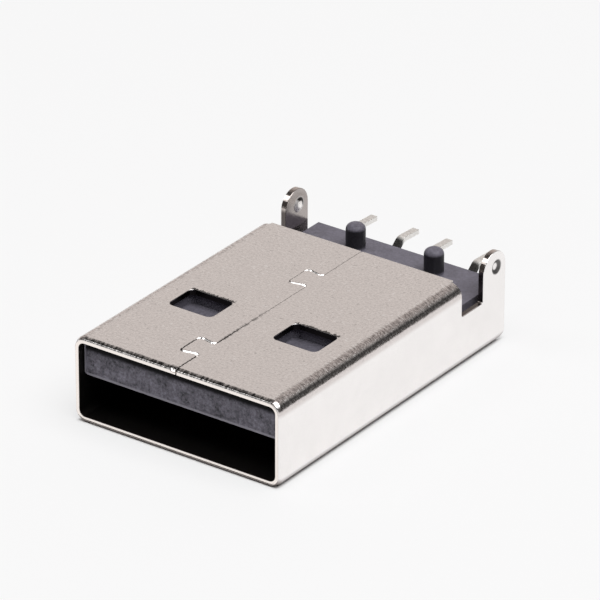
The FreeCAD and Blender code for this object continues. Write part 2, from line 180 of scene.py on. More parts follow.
def rounded_outline(corners, spacing=0.07):
    """A closed outline through corners (run, y, radius): straight stretches, with each corner a tangent arc.

    An arc starts at radius * tan(turn / 2) before its corner. Its points lie on the circle round the centre,
    which is radius / cos(turn / 2) from the corner along the bisector.
    """
    points = np.array([corner[:2] for corner in corners], float)
    stretches = []
    for index, (_, _, radius) in enumerate(corners):
        corner = points[index]
        back = points[index - 1] - corner
        ahead = points[(index + 1) % len(points)] - corner
        back /= np.linalg.norm(back)
        ahead /= np.linalg.norm(ahead)
        if radius == 0:
            stretches.append(corner[None])
            continue
        turn = np.pi - np.arccos(np.clip(back @ ahead, -1, 1))
        middle = (back + ahead) / np.linalg.norm(back + ahead)
        centre = corner + middle * radius / np.cos(turn / 2)
        start = corner + back * radius * np.tan(turn / 2) - centre
        across = corner + ahead * radius * np.tan(turn / 2) - centre
        side = across - start * (start @ across) / radius**2
        side *= radius / np.linalg.norm(side)
        angles = np.linspace(0, turn, max(4, int(np.ceil(turn * 8 / np.pi)) * 2 + 1))[:, None]
        stretches.append(centre + start * np.cos(angles) + side * np.sin(angles))
    turned = np.concatenate(stretches)
    following = np.roll(turned, -1, axis=0)
    lengths = np.linalg.norm(following - turned, axis=1)
    counts = np.maximum(1, np.ceil(lengths / spacing - 1e-6).astype(int))
    index = np.repeat(np.arange(len(turned)), counts)
    first = np.repeat(np.cumsum(counts) - counts, counts)
    share = ((np.arange(len(index)) - first) / counts[index])[:, None]
    return turned[index] * (1 - share) + following[index] * share


def lock_corners(middle, neck, head, root, tip):
    """Four corners (run, y, radius) of a dovetail, narrow at its root and wide at its tip."""
    return [
        (root, middle - neck, LOCK_RADIUS),
        (tip, middle - head, LOCK_RADIUS),
        (tip, middle + head, LOCK_RADIUS),
        (root, middle + neck, LOCK_RADIUS),
    ]


def rear_side():
    """Corners of one side's rear outline, from the roof's rear edge to the floor's, as (run, y, radius)."""
    leg_front = SIDE_END - LEG_WIDTH
    tip = LEG_WIDTH / 2
    turn = np.linspace(QUARTER, 0, 9)
    height = BEND * (1 - np.cos(turn))
    curve = SIDE_END - LOWER_CORNER + np.sqrt(LOWER_CORNER**2 - (LOWER_CORNER - height) ** 2)
    return [
        (ROOF_RUN, ROOF_END, 0.05),
        (ROOF_RUN, NOTCH_FRONT, 0.05),
        (WALL_FOOT + SILL, NOTCH_FRONT, 0.12),
        (WALL_FOOT + SILL, leg_front, 0.12),
        (WALL_FOOT + LEG_TOP, leg_front, tip - 1e-4),
        (WALL_FOOT + LEG_TOP, SIDE_END, tip - 1e-4),
        (WALL_FOOT + LOWER_CORNER, SIDE_END, 0),
        *[(FOOT_RUN + BEND * angle, y, 0) for angle, y in zip(turn, curve)],
        (FOOT_RUN, SIDE_END - FLOOR_INSET, 0.05),
    ]


def sheet_outlines():
    """The flat sheet's outer outline and its four windows, as points (run, y)."""
    edge = SEAM_GAP / 2
    neck, head = LOCK_NECK / 2, LOCK_HEAD / 2
    right_seam = [(SEAM_RUN - edge, 0, 0.04)]
    left_seam = [(-SEAM_RUN + edge, 0, 0.04)]
    for middle in LOCK_PLACES:
        right_seam += lock_corners(middle, neck, head, SEAM_RUN - edge, SEAM_RUN + LOCK_REACH)
        socket_tip = LOCK_REACH + SEAM_GAP - SEAM_RUN
        left_seam += lock_corners(middle, neck + SEAM_GAP, head + SEAM_GAP, -SEAM_RUN + edge, socket_tip)
    right_seam.append((SEAM_RUN - edge, ROOF_END, 0.05))
    left_seam.append((-SEAM_RUN + edge, ROOF_END, 0.05))
    right = rear_side()
    left = [(-run, y, radius) for run, y, radius in right]
    outlines = [rounded_outline(right_seam + right + left[::-1] + left_seam[::-1])]
    half = WINDOW_WIDTH / 2
    for middle in (WINDOW_MIDDLE, -WINDOW_MIDDLE, SEAM_RUN - WINDOW_MIDDLE, WINDOW_MIDDLE - SEAM_RUN):
        low, high = middle - half, middle + half
        outlines.append(rounded_outline([
            (low, WINDOW_FRONT, WINDOW_RADIUS),
            (high, WINDOW_FRONT, WINDOW_RADIUS),
            (high, WINDOW_END, WINDOW_RADIUS),
            (low, WINDOW_END, WINDOW_RADIUS),
        ]))
    return outlines


def in_window(points):
    """True for points (run, y) inside a window with its rolled edge, rounded at its corners."""
    run = np.abs(points[:, 0])
    away_run = np.minimum(np.abs(run - WINDOW_MIDDLE), np.abs(run - SEAM_RUN + WINDOW_MIDDLE))
    away_y = np.abs(points[:, 1] - WINDOW_FRONT - WINDOW_LENGTH / 2)
    past_run = np.clip(away_run - WINDOW_WIDTH / 2 + WINDOW_RADIUS, 0, None)
    past_y = np.clip(away_y - WINDOW_LENGTH / 2 + WINDOW_RADIUS, 0, None)
    return np.hypot(past_run, past_y) < WINDOW_RADIUS + WINDOW_ROLL


def dimple(run, y, share):
    """How far the sheet is pressed in: flat in the middle, with a side that follows half a cosine wave.

    It goes evenly from the hollow's depth on the outer face to the bump's height on the inner one.
    """
    away = np.hypot(np.abs(run) - DIMPLE_RUN, y - DIMPLE_Y)
    side = np.clip((away - DIMPLE_FLAT) / (DIMPLE_RADIUS - DIMPLE_FLAT), 0, 1)
    return (DIMPLE_DEPTH + (BUMP_HEIGHT - DIMPLE_DEPTH) * share) * (0.5 + 0.5 * np.cos(np.pi * side))


def lead_in(y):
    """How far the outer face has dropped as it rolls to the front rim: a power of the way left to the rim."""
    return LEAD_DEPTH * np.clip(1 - y / LEAD_LENGTH, 0, None) ** LEAD_POWER


def folded(run, y, share):
    """Places on the folded sheet, "share" of its thickness below its outer face.

    The section is straight, turns a quarter circle at the foot of each side wall, rises, and turns a second
    quarter circle into the roof. Behind the notches the wall goes straight on up as a leg. Depth is along the
    face's normal.
    """
    side = np.sign(run)
    way = np.abs(run)
    foot = np.clip((way - FOOT_RUN) / BEND, 0, QUARTER)
    top = np.where(y < FOLD_END, np.clip((way - TOP_RUN) / BEND, 0, QUARTER), 0)
    rise_end = np.where(y < FOLD_END, TOP_RUN, np.inf)
    rise = np.clip(way, WALL_RUN, np.maximum(rise_end, WALL_RUN)) - WALL_RUN
    roof = np.where(y < FOLD_END, np.clip(way - ROOF_RUN, 0, None), 0)
    x = np.clip(way, 0, FOOT_RUN) + BEND * (np.sin(foot) - 1 + np.cos(top)) - roof
    z = BEND * (1 - np.cos(foot) + np.sin(top)) + rise
    angle = foot + top
    drop = lead_in(y)
    depth = drop + (SHEET - drop) * share + dimple(run, y, share)
    return np.stack([side * (x - depth * np.sin(angle)), y + FRONT, z + depth * np.cos(angle)], axis=-1)


def slopes(run, y, share, step=1e-4):
    """The folded sheet's two tangents, by central differences, and its outward normal."""
    along_run = folded(run + step, y, share) - folded(run - step, y, share)
    along_y = folded(run, y + step, share) - folded(run, y - step, share)
    along_run /= np.linalg.norm(along_run, axis=-1, keepdims=True)
    along_y /= np.linalg.norm(along_y, axis=-1, keepdims=True)
    return along_run, along_y, np.cross(along_y, along_run)


def grid_points():
    """Points (run, y) that fill the sheet, close together across the bends and by the front rim, and rings of
    points round the dimples."""
    flats = [
        np.linspace(0, FOOT_RUN, 12)[:-1],
        np.linspace(FOOT_RUN, WALL_RUN, 13)[:-1],
        np.linspace(WALL_RUN, TOP_RUN, 7)[:-1],
        np.linspace(TOP_RUN, ROOF_RUN, 13)[:-1],
        np.linspace(ROOF_RUN, SEAM_RUN + LOCK_REACH, 14),
    ]
    runs = np.concatenate(flats)
    runs = np.concatenate([-runs[:0:-1], runs])
    rim_ys = np.linspace(0.06, LEAD_LENGTH + 0.02, 6)
    ys = np.concatenate([rim_ys, np.arange(LEAD_LENGTH + 0.15, SIDE_END, 0.3)])
    filling = np.stack(np.meshgrid(runs, ys, indexing="ij"), axis=-1).reshape(-1, 2)
    radii = np.linspace(0.04, DIMPLE_RADIUS + 0.03, 9)
    angle, radius = np.meshgrid(np.linspace(0, 2 * np.pi, 25)[:-1], radii)
    ring = np.stack([radius * np.cos(angle), radius * np.sin(angle)], axis=-1).reshape(-1, 2)
    middle = np.array([DIMPLE_RUN, DIMPLE_Y])
    return np.concatenate([filling, ring + middle, ring + middle * (-1, 1)])


def inward(outline):
    """Unit vectors into the sheet at each point of an outline that has the sheet on its left."""
    along = np.roll(outline, -1, axis=0) - outline
    along /= np.linalg.norm(along, axis=1, keepdims=True)
    mitre = along + np.roll(along, 1, axis=0)
    mitre /= np.linalg.norm(mitre, axis=1, keepdims=True)
    left = np.stack([-mitre[:, 1], mitre[:, 0]], axis=1)
    return left / np.clip((mitre * along).sum(axis=1), 0.5, 1)[:, None]


def sheet_on_left(outline, is_hole):
    """Turn an outline so that the sheet lies on its left: anticlockwise outside, clockwise round a hole."""
    following = np.roll(outline, -1, axis=0)
    area = (outline[:, 0] * following[:, 1] - following[:, 0] * outline[:, 1]).sum()
    return outline[::-1] if (area > 0) == is_hole else outline


def on_seam(outline):
    """True for points (run, y) on the seam's two edges, away from its ends."""
    run, y = outline.T
    return (np.abs(run) > SEAM_RUN - LOCK_REACH - 0.2) & (np.abs(y - ROOF_END / 2) < ROOF_END / 2 - 0.1)


def smooth(share):
    """A smooth step: 0 up to a share of 0, 1 from a share of 1, and 3 share^2 - 2 share^3 between them."""
    share = np.clip(share, 0, 1)
    return share**2 * (3 - 2 * share)


def closing(y):
    """A smooth step from 0, where the seam is open by the first lock, to 1, where it has closed behind it."""
    return smooth((y - LOCK_PLACES[0] - LOCK_HEAD / 2) / CLOSING_LENGTH)


def ragged(outline):
    """The outline with the seam's two edges moved in and out by two sine waves, unless they face the mouth.

    Behind the first lock the seam is closed, and the waves only open it.
    """
    run, y = outline.T
    into = inward(outline)
    wave = sum(np.sin(along * y + across * run) for along, across in RAGGED_WAVES)
    wave += (np.clip(wave, 0, None) - wave) * closing(y)
    inset = RAGGED * wave * (1 - np.clip(into[:, 1], 0, 1)) - (SEAM_GAP - SEAM_CLOSED) / 2 * closing(y)
    return outline + into * (inset * on_seam(outline))[:, None]


def edge_roll(outline):
    """The rolled-over edge at each point of an outline: its radius, how flat its slope is, from 0 to 1, and
    the part of a right angle that it is flattened to.

    On the seam the radius grows with the square of how far the edge faces the mouth. Elsewhere it is the
    front rim's by the rim, and the windows' further back. The left sheet's front corner by the seam is pressed
    down by a smooth step along the rim.
    """
    run, y = outline.T
    mouthward = np.clip(inward(outline)[:, 1], 0, 1) ** 2
    corner = np.where(y < ON_RIM, smooth((-run - SEAM_RUN + CORNER_REACH) / CORNER_FADE), 0)
    flatness = np.maximum(np.where(on_seam(outline), mouthward, 0), corner)
    fade_start, fade_end = RIM_FADE
    near_rim = np.clip((fade_end - y) / (fade_end - fade_start), 0, 1)
    radius = WINDOW_ROLL + (ROLL - WINDOW_ROLL) * near_rim
    radius = np.where(on_seam(outline), SEAM_ROLL * (1 - 0.4 * closing(y)), radius)
    return radius + (LOCK_ROLL - radius) * flatness, flatness, 0.5 - 0.3 * corner


def edge_profile(radius, flatness, flat_slope):
    """The cut edge's profile, from the outer face to the inner one, as (inset, share of the sheet, slope).

    It is a quarter circle from the outer face, a straight cut, and a small break at the inner face. Where the
    edge is flattened, its slope keeps nearer to one angle by a cubic.
    """
    profile = []
    for turn in np.linspace(0.25, 1, 4):
        angle = turn * QUARTER
        flattened = flat_slope + 4 * (turn - 0.5) ** 3
        slope = QUARTER * (turn + (flattened - turn) * flatness)
        profile.append((radius * (1 - np.sin(angle)), radius / SHEET * (1 - np.cos(angle)), slope))
    every = np.ones(len(radius))
    profile.append((0 * every, every - BREAK / SHEET, QUARTER * every))
    profile.append((BREAK * every, every, 1.5 * QUARTER * every))
    return profile


def fill_sheet(rims, following):
    """Points (run, y) and triangles that fill the sheet between its rims, and each rim point's index in them.

    "following" holds the index of the point that comes next round each rim.
    """
    rim_points = np.concatenate(rims)
    edges = np.stack([np.arange(len(rim_points)), following], axis=1)
    points = np.concatenate([rim_points, grid_points()])
    flat, _, triangles, sources, *_ = delaunay_2d_cdt(points.tolist(), edges.tolist(), [], 1, 1e-5)
    flat = np.array(flat)
    triangles = np.array(triangles)
    triangles = triangles[~in_window(flat[triangles].mean(axis=1))]
    new_index = np.full(len(points), -1)
    new_index[np.concatenate(sources).astype(int)] = np.repeat(np.arange(len(flat)), list(map(len, sources)))
    used = np.unique(triangles)
    order = np.full(len(flat), -1)
    order[used] = np.arange(len(used))
    rim_index = order[new_index[: len(rim_points)]]
    if rim_index.min() < 0:
        raise ValueError("a cut edge has lost its place on the sheet")
    return flat[used], order[triangles], rim_index


def make_piece(name, places, faces, normals, material, uv, depth):
    """A mesh object from places in millimetres, with smooth shading by the given normals.

    "uv" is each vertex's place on the flat sheet, and "depth" its share of the sheet's thickness.
    """
    mesh = bpy.data.meshes.new(name)
    mesh.from_pydata(places * MM, [], faces)
    mesh.update()
    mesh.polygons.foreach_set("use_smooth", np.ones(len(mesh.polygons), bool))
    mesh.normals_split_custom_set_from_vertices(normals)
    corners = np.empty(len(mesh.loops), int)
    mesh.loops.foreach_get("vertex_index", corners)
    mesh.uv_layers.new(name="flat_sheet").data.foreach_set("uv", uv[corners].ravel())
    mesh.attributes.new("depth", "FLOAT", "POINT").data.foreach_set("value", depth)
    mesh.materials.append(material)
    piece = bpy.data.objects.new(name, mesh)
    bpy.context.scene.collection.objects.link(piece)
    return piece


def make_shell(material):
    """The folded sheet: two faces filled between the outlines, joined round every outline by a cut edge.

    A cut edge is a profile carried round the outline. Where a lock's edge on the right sheet is flattened, it
    is shaded as if it faced the mouth squarely. Everything is worked out on the flat sheet and then folded.
    """
    outlines = [sheet_on_left(outline, index > 0) for index, outline in enumerate(sheet_outlines())]
    outlines[0] = ragged(outlines[0])
    rolls = [edge_roll(outline) for outline in outlines]
    rims = [outline + inward(outline) * radius[:, None] for outline, (radius, *_) in zip(outlines, rolls)]
    counts = [len(outline) for outline in outlines]
    starts = np.cumsum([0] + counts)
    following = [start + np.roll(np.arange(count), -1) for start, count in zip(starts, counts)]
    following = np.concatenate(following)
    flat, triangles, rim_index = fill_sheet(rims, following)

    count = len(flat)
    run, y = flat.T
    outer, inner = np.zeros(count), np.ones(count)
    places = [folded(run, y, outer), folded(run, y, inner)]
    normals = [slopes(run, y, outer)[2], -slopes(run, y, inner)[2]]
    flats = [flat, flat]
    depths = [outer, inner]
    faces = [triangles[:, ::-1], triangles + count]

    outline = np.concatenate(outlines)
    into = np.concatenate([inward(item) for item in outlines])
    radius, flatness, flat_slope = (np.concatenate(values) for values in zip(*rolls))
    facing = into * np.stack([1 - flatness * (outline[:, 0] > 0), np.ones(len(outline))], axis=1)
    facing /= np.linalg.norm(facing, axis=1, keepdims=True)
    rings = [rim_index]
    for number, (inset, share, slope) in enumerate(edge_profile(radius, flatness, flat_slope)):
        ring = outline + into * inset[:, None]
        run, y = ring.T
        along_run, along_y, normal = slopes(run, y, share)
        out = -(facing[:, :1] * along_run + facing[:, 1:] * along_y)
        places.append(folded(run, y, share))
        normals.append(np.cos(slope)[:, None] * normal + np.sin(slope)[:, None] * out)
        flats.append(ring)
        depths.append(share)
        rings.append(2 * count + number * len(ring) + np.arange(len(ring)))
    rings.append(rim_index + count)
    for upper, lower in zip(rings[:-1], rings[1:]):
        faces.append(np.stack([upper, upper[following], lower[following], lower], axis=1))
    every_face = sum((group.tolist() for group in faces), [])
    normals = np.concatenate(normals)
    normals /= np.linalg.norm(normals, axis=1, keepdims=True)
    return make_piece(
        "shell_sheet",
        np.concatenate(places),
        every_face,
        normals,
        material,
        np.concatenate(flats),
        np.concatenate(depths),
    )


# Materials


class Nodes:
    """A node tree under construction; its methods return output sockets."""

    def __init__(self, tree):
        self.tree = tree

    def node(self, kind, *values, **settings):
        """A node whose first inputs take the values, which are numbers, colours or other nodes' outputs."""
        node = self.tree.nodes.new("ShaderNode" + kind)
        for key, value in settings.items():
            setattr(node, key, value)
        sockets = [socket for socket in node.inputs if socket.enabled]
        for socket, value in zip(sockets, values):
            self.feed(socket, value)
        return node

    def feed(self, socket, value):
        """Link another node's output to an input, or set the input's number, vector or colour."""
        if isinstance(value, bpy.types.NodeSocket):
            self.tree.links.new(value, socket)
        elif socket.type == "RGBA":
            socket.default_value = (*value, 1)
        else:
            socket.default_value = value

    def math(self, operation, *values, **settings):
        return self.node("Math", *values, operation=operation, **settings).outputs[0]

    def sum(self, first, *others):
        for other in others:
            first = self.math("ADD", first, other)
        return first

    def product(self, first, *others):
        for other in others:
            first = self.math("MULTIPLY", first, other)
        return first

    def ranged(self, value, limits, interpolation="LINEAR"):
        """The value brought from one range to another, with limits (from low, from high, to low, to high)."""
        node = self.node("MapRange", value, interpolation_type=interpolation)
        for name, limit in zip(("From Min", "From Max", "To Min", "To Max"), limits):
            node.inputs[name].default_value = limit
        return node.outputs[0]

    def step(self, value, low, high):
        """0 at "low" and 1 at "high", smooth between them."""
        return self.ranged(value, (low, high, 0, 1), "SMOOTHSTEP")

    def band(self, value, start, full, fade, end):
        """1 from "full" to "fade" and 0 outside "start" to "end", smooth between them."""
        return self.product(self.step(value, start, full), self.step(value, end, fade))

    def swing(self, value, low, high):
        """Noise of about 0.3 to 0.7 stretched over the range from "low" to "high"."""
        return self.ranged(value, (0.3, 0.7, low, high))

    def colour(self, mask, first, second):
        """The first colour, and the second one where the mask is 1."""
        outputs = self.node("Mix", mask, first, second, data_type="RGBA").outputs
        return next(socket for socket in outputs if socket.enabled)

    def shade(self, colour, factor):
        """The colour, or a place, times a number."""
        return self.node("VectorMath", colour, factor, operation="SCALE").outputs[0]

    def grain(self, place, scales, detail=2.0, roughness=0.5):
        """Noise with its own number of features per unit of the place along each axis."""
        scaled = self.node("VectorMath", place, scales, operation="MULTIPLY").outputs[0]
        return self.node("TexNoise", scaled, 1.0, detail, roughness).outputs[0]

    def axes(self, place):
        return self.node("SeparateXYZ", place).outputs


class Finish(Nodes):
    """A material under construction, with its shader."""

    def __init__(self, name):
        self.material = bpy.data.materials.new(name)
        self.material.use_nodes = True
        super().__init__(self.material.node_tree)
        self.shader = self.tree.nodes["Principled BSDF"]

    def place(self):
        """A point's place on its object, in metres."""
        return self.node("TexCoord").outputs["Object"]

    def millimetres(self, place):
        """The place's x, y and z in millimetres."""
        return self.axes(self.shade(place, 1 / MM))

    def coat(self, values):
        """Feed the shader's inputs, by their names."""
        for name, value in values.items():
            self.feed(self.shader.inputs[name], value)

    def bump(self, height, distance, strength):
        """Bump the shader's surface by a height, times a distance in metres."""
        node = self.node("Bump")
        node.inputs["Strength"].default_value = strength
        node.inputs["Distance"].default_value = distance
        self.feed(node.inputs["Height"], height)
        self.feed(self.shader.inputs["Normal"], node.outputs[0])


def satin_nickel():
    """Satin nickel plate with a rough, tumbled skin.

    The plate is drawn out in a fine hatch across the roof's folds, with painted shade in a band on each side
    of a darker painted line, and in streaks down the roof's front roll. Painted shade runs along the foot of
    the walls and under the mouth, and round the pressed dimples. It is darker in a ragged band behind the
    roof's windows and in dashes beside the seam. The cut faces are painted as lit and shaded copies: pale at
    the front rim and the legs' tops, dark elsewhere. The tube's inside and the legs' inner faces are painted
    in shade.
    "run" and "y" are millimetres on the flat sheet.
    """
    finish = Finish("satin_nickel")
    place = finish.place()
    flat = finish.node("UVMap", uv_map="flat_sheet").outputs["UV"]
    across, y, _ = finish.axes(flat)
    run = finish.math("ABSOLUTE", across)
    depth = finish.node("Attribute", attribute_name="depth").outputs["Fac"]

    # Skin: speckled on the roof, and hardly so elsewhere
    speckle = finish.grain(place, (8000, 8000, 8000), 3.0, 0.6)
    blotches = finish.grain(place, (900, 900, 900), 3.0)
    dots = finish.step(finish.grain(place, (5200, 5200, 5200), 1.0), 0.66, 0.76)
    pits = finish.step(finish.grain(place, (4700, 4700, 4700), 1.0), 0.33, 0.27)
    marks = finish.sum(
        finish.product(dots, 0.16), finish.product(pits, -0.16), finish.swing(speckle, -0.18, 0.1)
    )
    on_roof = finish.step(y, ROOF_END + 0.1, ROOF_END)
    on_top = finish.product(finish.step(run, TOP_RUN - 0.1, TOP_RUN + 0.3), on_roof)
    tone = finish.sum(1.0, finish.product(marks, finish.sum(0.12, on_top)))
    tone = finish.product(tone, finish.swing(blotches, 0.98, 1.01))

    # Folds into the roof: a hatch, painted shade in bands at the wall's top and the fold's shoulder, and a
    # darker painted line of shade between them
    hatch = finish.grain(flat, (4.0, 9.0, 1.0), 3.0, 0.75)
    fold = finish.band(run, TOP_RUN + 0.3 * BEND, TOP_RUN + 0.8 * BEND, ROOF_RUN - 0.1, ROOF_RUN + 0.15)
    on_fold = finish.product(fold, on_roof)
    wall_top = finish.band(run, TOP_RUN - 0.2, TOP_RUN + 0.1, TOP_RUN + 0.25, TOP_RUN + 0.4)
    shoulder = finish.band(run, TOP_RUN + 0.45, TOP_RUN + 0.7, ROOF_RUN - 0.15, ROOF_RUN + 0.02)
    fold_shade = finish.product(finish.sum(wall_top, shoulder), on_roof)
    fold_line = finish.band(run, TOP_RUN + 0.35, TOP_RUN + 0.44, TOP_RUN + 0.46, TOP_RUN + 0.56)
    fold_line_shade = finish.product(fold_line, on_roof)

    # Front roll, streaked and darkened as painted shade, and painted shade along the foot and under the front
    # roll
    streaks = finish.grain(flat, (7.0, 1.5, 1.0), 3.0, 0.65)
    streak_shade = finish.sum(0.1, finish.product(finish.step(streaks, 0.36, 0.66), 0.85))
    on_front = finish.step(y, LEAD_LENGTH + 0.04, LEAD_LENGTH - 0.03)
    on_front = finish.product(on_front, finish.step(depth, 0.2, 0.12))
    on_roll = finish.product(on_front, finish.step(run, ROOF_RUN - 0.4, ROOF_RUN - 0.1))
    foot = finish.band(run, FOOT_RUN, FOOT_RUN + 0.2, FOOT_RUN + 0.55, FOOT_RUN + 1.0)
    under_roll = finish.product(finish.step(run, WALL_RUN, FOOT_RUN + 0.5), on_front)
    painted_foot_shade = finish.math("MAXIMUM", foot, under_roll)

    # Darker ragged band behind the roof's windows, and darker dashes beside the seam
    band_noise = finish.grain(flat, (11.0, 2.0, 1.0), 3.0, 0.6)
    band_y = finish.sum(y, finish.swing(band_noise, 0.02, -0.2))
    low = SEAM_RUN - WINDOW_MIDDLE - WINDOW_WIDTH / 2
    high = SEAM_RUN - WINDOW_MIDDLE + WINDOW_WIDTH / 2
    window_band = finish.product(
        finish.step(band_y, WINDOW_END + 0.05, WINDOW_END),
        finish.step(y, WINDOW_END - 0.1, WINDOW_END),
        finish.band(run, low - 0.05, low + 0.05, high - 0.05, high + 0.05),
    )
    dash_noise = finish.step(finish.grain(flat, (5.0, 8.0, 1.0), 2.0), 0.44, 0.56)
    by_seam = finish.step(run, SEAM_RUN - 0.14, SEAM_RUN - 0.06)
    seam_dashes = finish.product(by_seam, dash_noise, finish.band(y, *DASH_PLACES))

    # Dimples, with painted shade in the hollow's ring on the outer face and on the inner bump's upper side
    away_run = finish.sum(run, -DIMPLE_RUN)
    away_y = finish.sum(y, -DIMPLE_Y)
    square = finish.sum(finish.product(away_run, away_run), finish.product(away_y, away_y))
    away = finish.math("POWER", square, 0.5)
    ring = finish.band(away, 0.13, 0.22, DIMPLE_RADIUS - 0.1, DIMPLE_RADIUS)
    hollow_shade = finish.product(ring, finish.step(depth, 0.6, 0.4))
    upper_ring = finish.product(ring, finish.step(finish.sum(away_run, away_y), 0.02, 0.2))
    off_bump = finish.step(away, DIMPLE_RADIUS - 0.1, DIMPLE_RADIUS)

    # Inner faces, painted in shade: the tube's inside, and the legs' inner faces off the bump and on its upper
    # side
    on_inside = finish.step(depth, 0.95, 1.0)
    in_tube = finish.product(on_inside, finish.step(y, ROOF_END, ROOF_END - 0.4))
    on_leg = finish.product(on_inside, finish.step(y, NOTCH_FRONT, NOTCH_FRONT + 0.4))
    leg_shade = finish.product(on_leg, finish.math("MAXIMUM", off_bump, upper_ring))

    # Cuts, which start below the outer face's roll: deeper along the seam, where the locks' roll is wide. They
    # are
    # painted as lit and shaded copies: dark, half dark at the rear, pale at the legs' tops and the front rim
    lock_root = SEAM_RUN - LOCK_REACH
    by_lock = finish.product(finish.step(run, lock_root - 0.3, lock_root - 0.1), finish.step(y, 0.3, 0.5))
    below_roll = finish.sum(depth, finish.product(by_lock, -0.4))
    on_cut = finish.product(finish.step(below_roll, 0.1, 0.18), finish.step(depth, 1.0, 0.96))
    on_rim = finish.product(on_cut, finish.step(y, 0.3, 0.2))
    on_rear_cut = finish.product(on_cut, finish.step(y, ROOF_END - 0.4, ROOF_END - 0.2))
    leg_foot = WALL_FOOT + SILL
    on_leg_cut = finish.product(
        on_cut,
        finish.step(run, leg_foot + 1.4, leg_foot + 1.7),
        finish.step(y, ROOF_END + 0.3, ROOF_END + 0.6),
    )

    # Painted shade along the foot and under the front roll
    colour = finish.colour(painted_foot_shade, finish.shade(NICKEL, tone), FOOT_SHADE_COLOUR)
    # Painted shade in bands across the roof's folds
    tinted = finish.node("VectorMath", colour, FOLD_SHADE_TINT, operation="MULTIPLY").outputs[0]
    colour = finish.colour(fold_shade, colour, tinted)
    shades = (
        # painted shade: a darker line across the fold
        (fold_line_shade, 0.5),
        (on_fold, finish.swing(hatch, 0.3, 1.7)),
        (window_band, 0.12),
        (seam_dashes, 0.4),
        # streaks down the front roll, darkened as painted shade
        (on_roll, streak_shade),
        # painted shade in the dimples' hollow rings
        (hollow_shade, 0.2),
    )
    for mask, factor in shades:
        colour = finish.colour(mask, colour, finish.shade(colour, factor))
    # Cut faces as painted lit and shaded copies
    covers = (
        (on_cut, DARK_SHADED_CUT),
        (on_rear_cut, DIM_SHADED_CUT),
        (on_leg_cut, LIT_LEG_CUT),
        (on_rim, LIT_RIM_CUT),
        # painted shade inside the tube and on the legs' inner faces
        (in_tube, TUBE_SHADE),
        (leg_shade, finish.colour(upper_ring, LEG_INSIDE_SHADE, BUMP_SHADE)),
    )
    for mask, cover in covers:
        colour = finish.colour(mask, colour, cover)
    roughness = finish.sum(
        finish.swing(speckle, 0.14, 0.24),
        finish.product(in_tube, 0.3),
        finish.product(on_fold, 0.1),
        finish.product(ring, 0.35),
    )
    finish.coat({"Base Color": colour, "Metallic": 1.0, "Roughness": roughness})
    scratches = finish.sum(speckle, finish.product(on_fold, hatch))
    finish.bump(finish.product(scratches, finish.step(depth, 0.004, 0.0)), 0.00001, 0.7)
    return finish.material


def dark_moulding():
    """Glass-filled dark grey moulding: a mottled skin, with flow lines down the tongue's face.

    The face is painted in shade towards the shell, and its other edges with a painted highlight. The
    moulding behind the face is painted lighter, and the pegs' sides and the pockets under the roof's windows
    are painted in shade.
    """
    finish = Finish("dark_moulding")
    place = finish.place()
    x, y, z = finish.millimetres(place)
    speckle = finish.grain(place, (7000, 7000, 7000), 4.0, 0.75)
    blotches = finish.grain(place, (900, 1500, 1800), 3.0)
    flow = finish.grain(place, (2600, 2600, 700), 4.0, 0.65)

    face = FRONT + TONGUE_RECESS
    on_face = finish.step(y, face + 0.15, face + 0.05)
    behind = finish.sum(1.0, finish.product(on_face, -1.0))
    under_rim = finish.product(on_face, finish.step(z, HEIGHT - 0.95, HEIGHT - 0.68))
    peg_foot = PEG_TOP - PEG_HEIGHT
    on_pegs = finish.product(
        finish.band(z, peg_foot, peg_foot + 0.2, PEG_TOP - 0.3, PEG_TOP - 0.15),
        finish.step(y, FRONT + ROOF_END, FRONT + ROOF_END + 0.5),
    )
    window_end = FRONT + WINDOW_END
    in_pocket = finish.product(
        behind,
        finish.step(y, window_end + 1.05, window_end + 0.55),
        finish.step(z, HEIGHT - 0.4, HEIGHT - 0.5),
    )

    mottle = finish.sum(
        finish.swing(speckle, -0.8, 0.8), finish.swing(blotches, -0.3, 0.3), finish.swing(flow, -0.25, 0.3)
    )
    tone = finish.sum(1.0, finish.product(mottle, finish.sum(0.3, finish.product(on_face, 0.7))))
    # Painted shade under the rim, on the pegs' sides and in the pockets, and painted light behind the face
    for mask, change in ((under_rim, -0.96), (behind, 0.2), (on_pegs, -0.85), (in_pocket, -0.2)):
        tone = finish.product(tone, finish.sum(1.0, finish.product(mask, change)))
    # Painted highlight along the face's sides and foot
    by_side = finish.step(finish.math("ABSOLUTE", x), HALF_WIDTH - SHEET - 0.2, HALF_WIDTH - SHEET - 0.1)
    by_foot = finish.step(z, TONGUE_FACE + 0.2, TONGUE_FACE + 0.1)
    face_edge_highlight = finish.product(on_face, finish.math("MAXIMUM", by_side, by_foot))
    colour = finish.colour(face_edge_highlight, finish.shade(MOULDING, tone), EDGE_HIGHLIGHT)
    roughness = finish.sum(finish.swing(speckle, 0.32, 0.5), finish.product(under_rim, 0.5))
    finish.coat({"Base Color": colour, "Roughness": roughness, "Specular IOR Level": 0.2})
    finish.bump(finish.sum(speckle, flow), 0.00001, 0.8)
    return finish.material


def bright_tin():
    """Tin over copper alloy, with a soft satin grain, painted dark as shade up to where the tails are bent."""
    finish = Finish("bright_tin")
    place = finish.place()
    _, y, _ = finish.millimetres(place)
    grain = finish.grain(place, (7000, 7000, 7000), 3.0)
    # Painted shade on the tails up to their bend
    painted_tail_shade = finish.step(y, TAIL_KNEE + 0.1, TAIL_KNEE - 0.15)
    bright = finish.shade(TIN, finish.swing(grain, 0.88, 1.0))
    colour = finish.colour(painted_tail_shade, bright, finish.shade(TAIL_SHADE, finish.swing(grain, 0.5, 1.3)))
    finish.coat({"Base Color": colour, "Metallic": 1.0, "Roughness": finish.swing(grain, 0.5, 0.62)})
    finish.bump(grain, 0.000006, 0.3)
    return finish.material


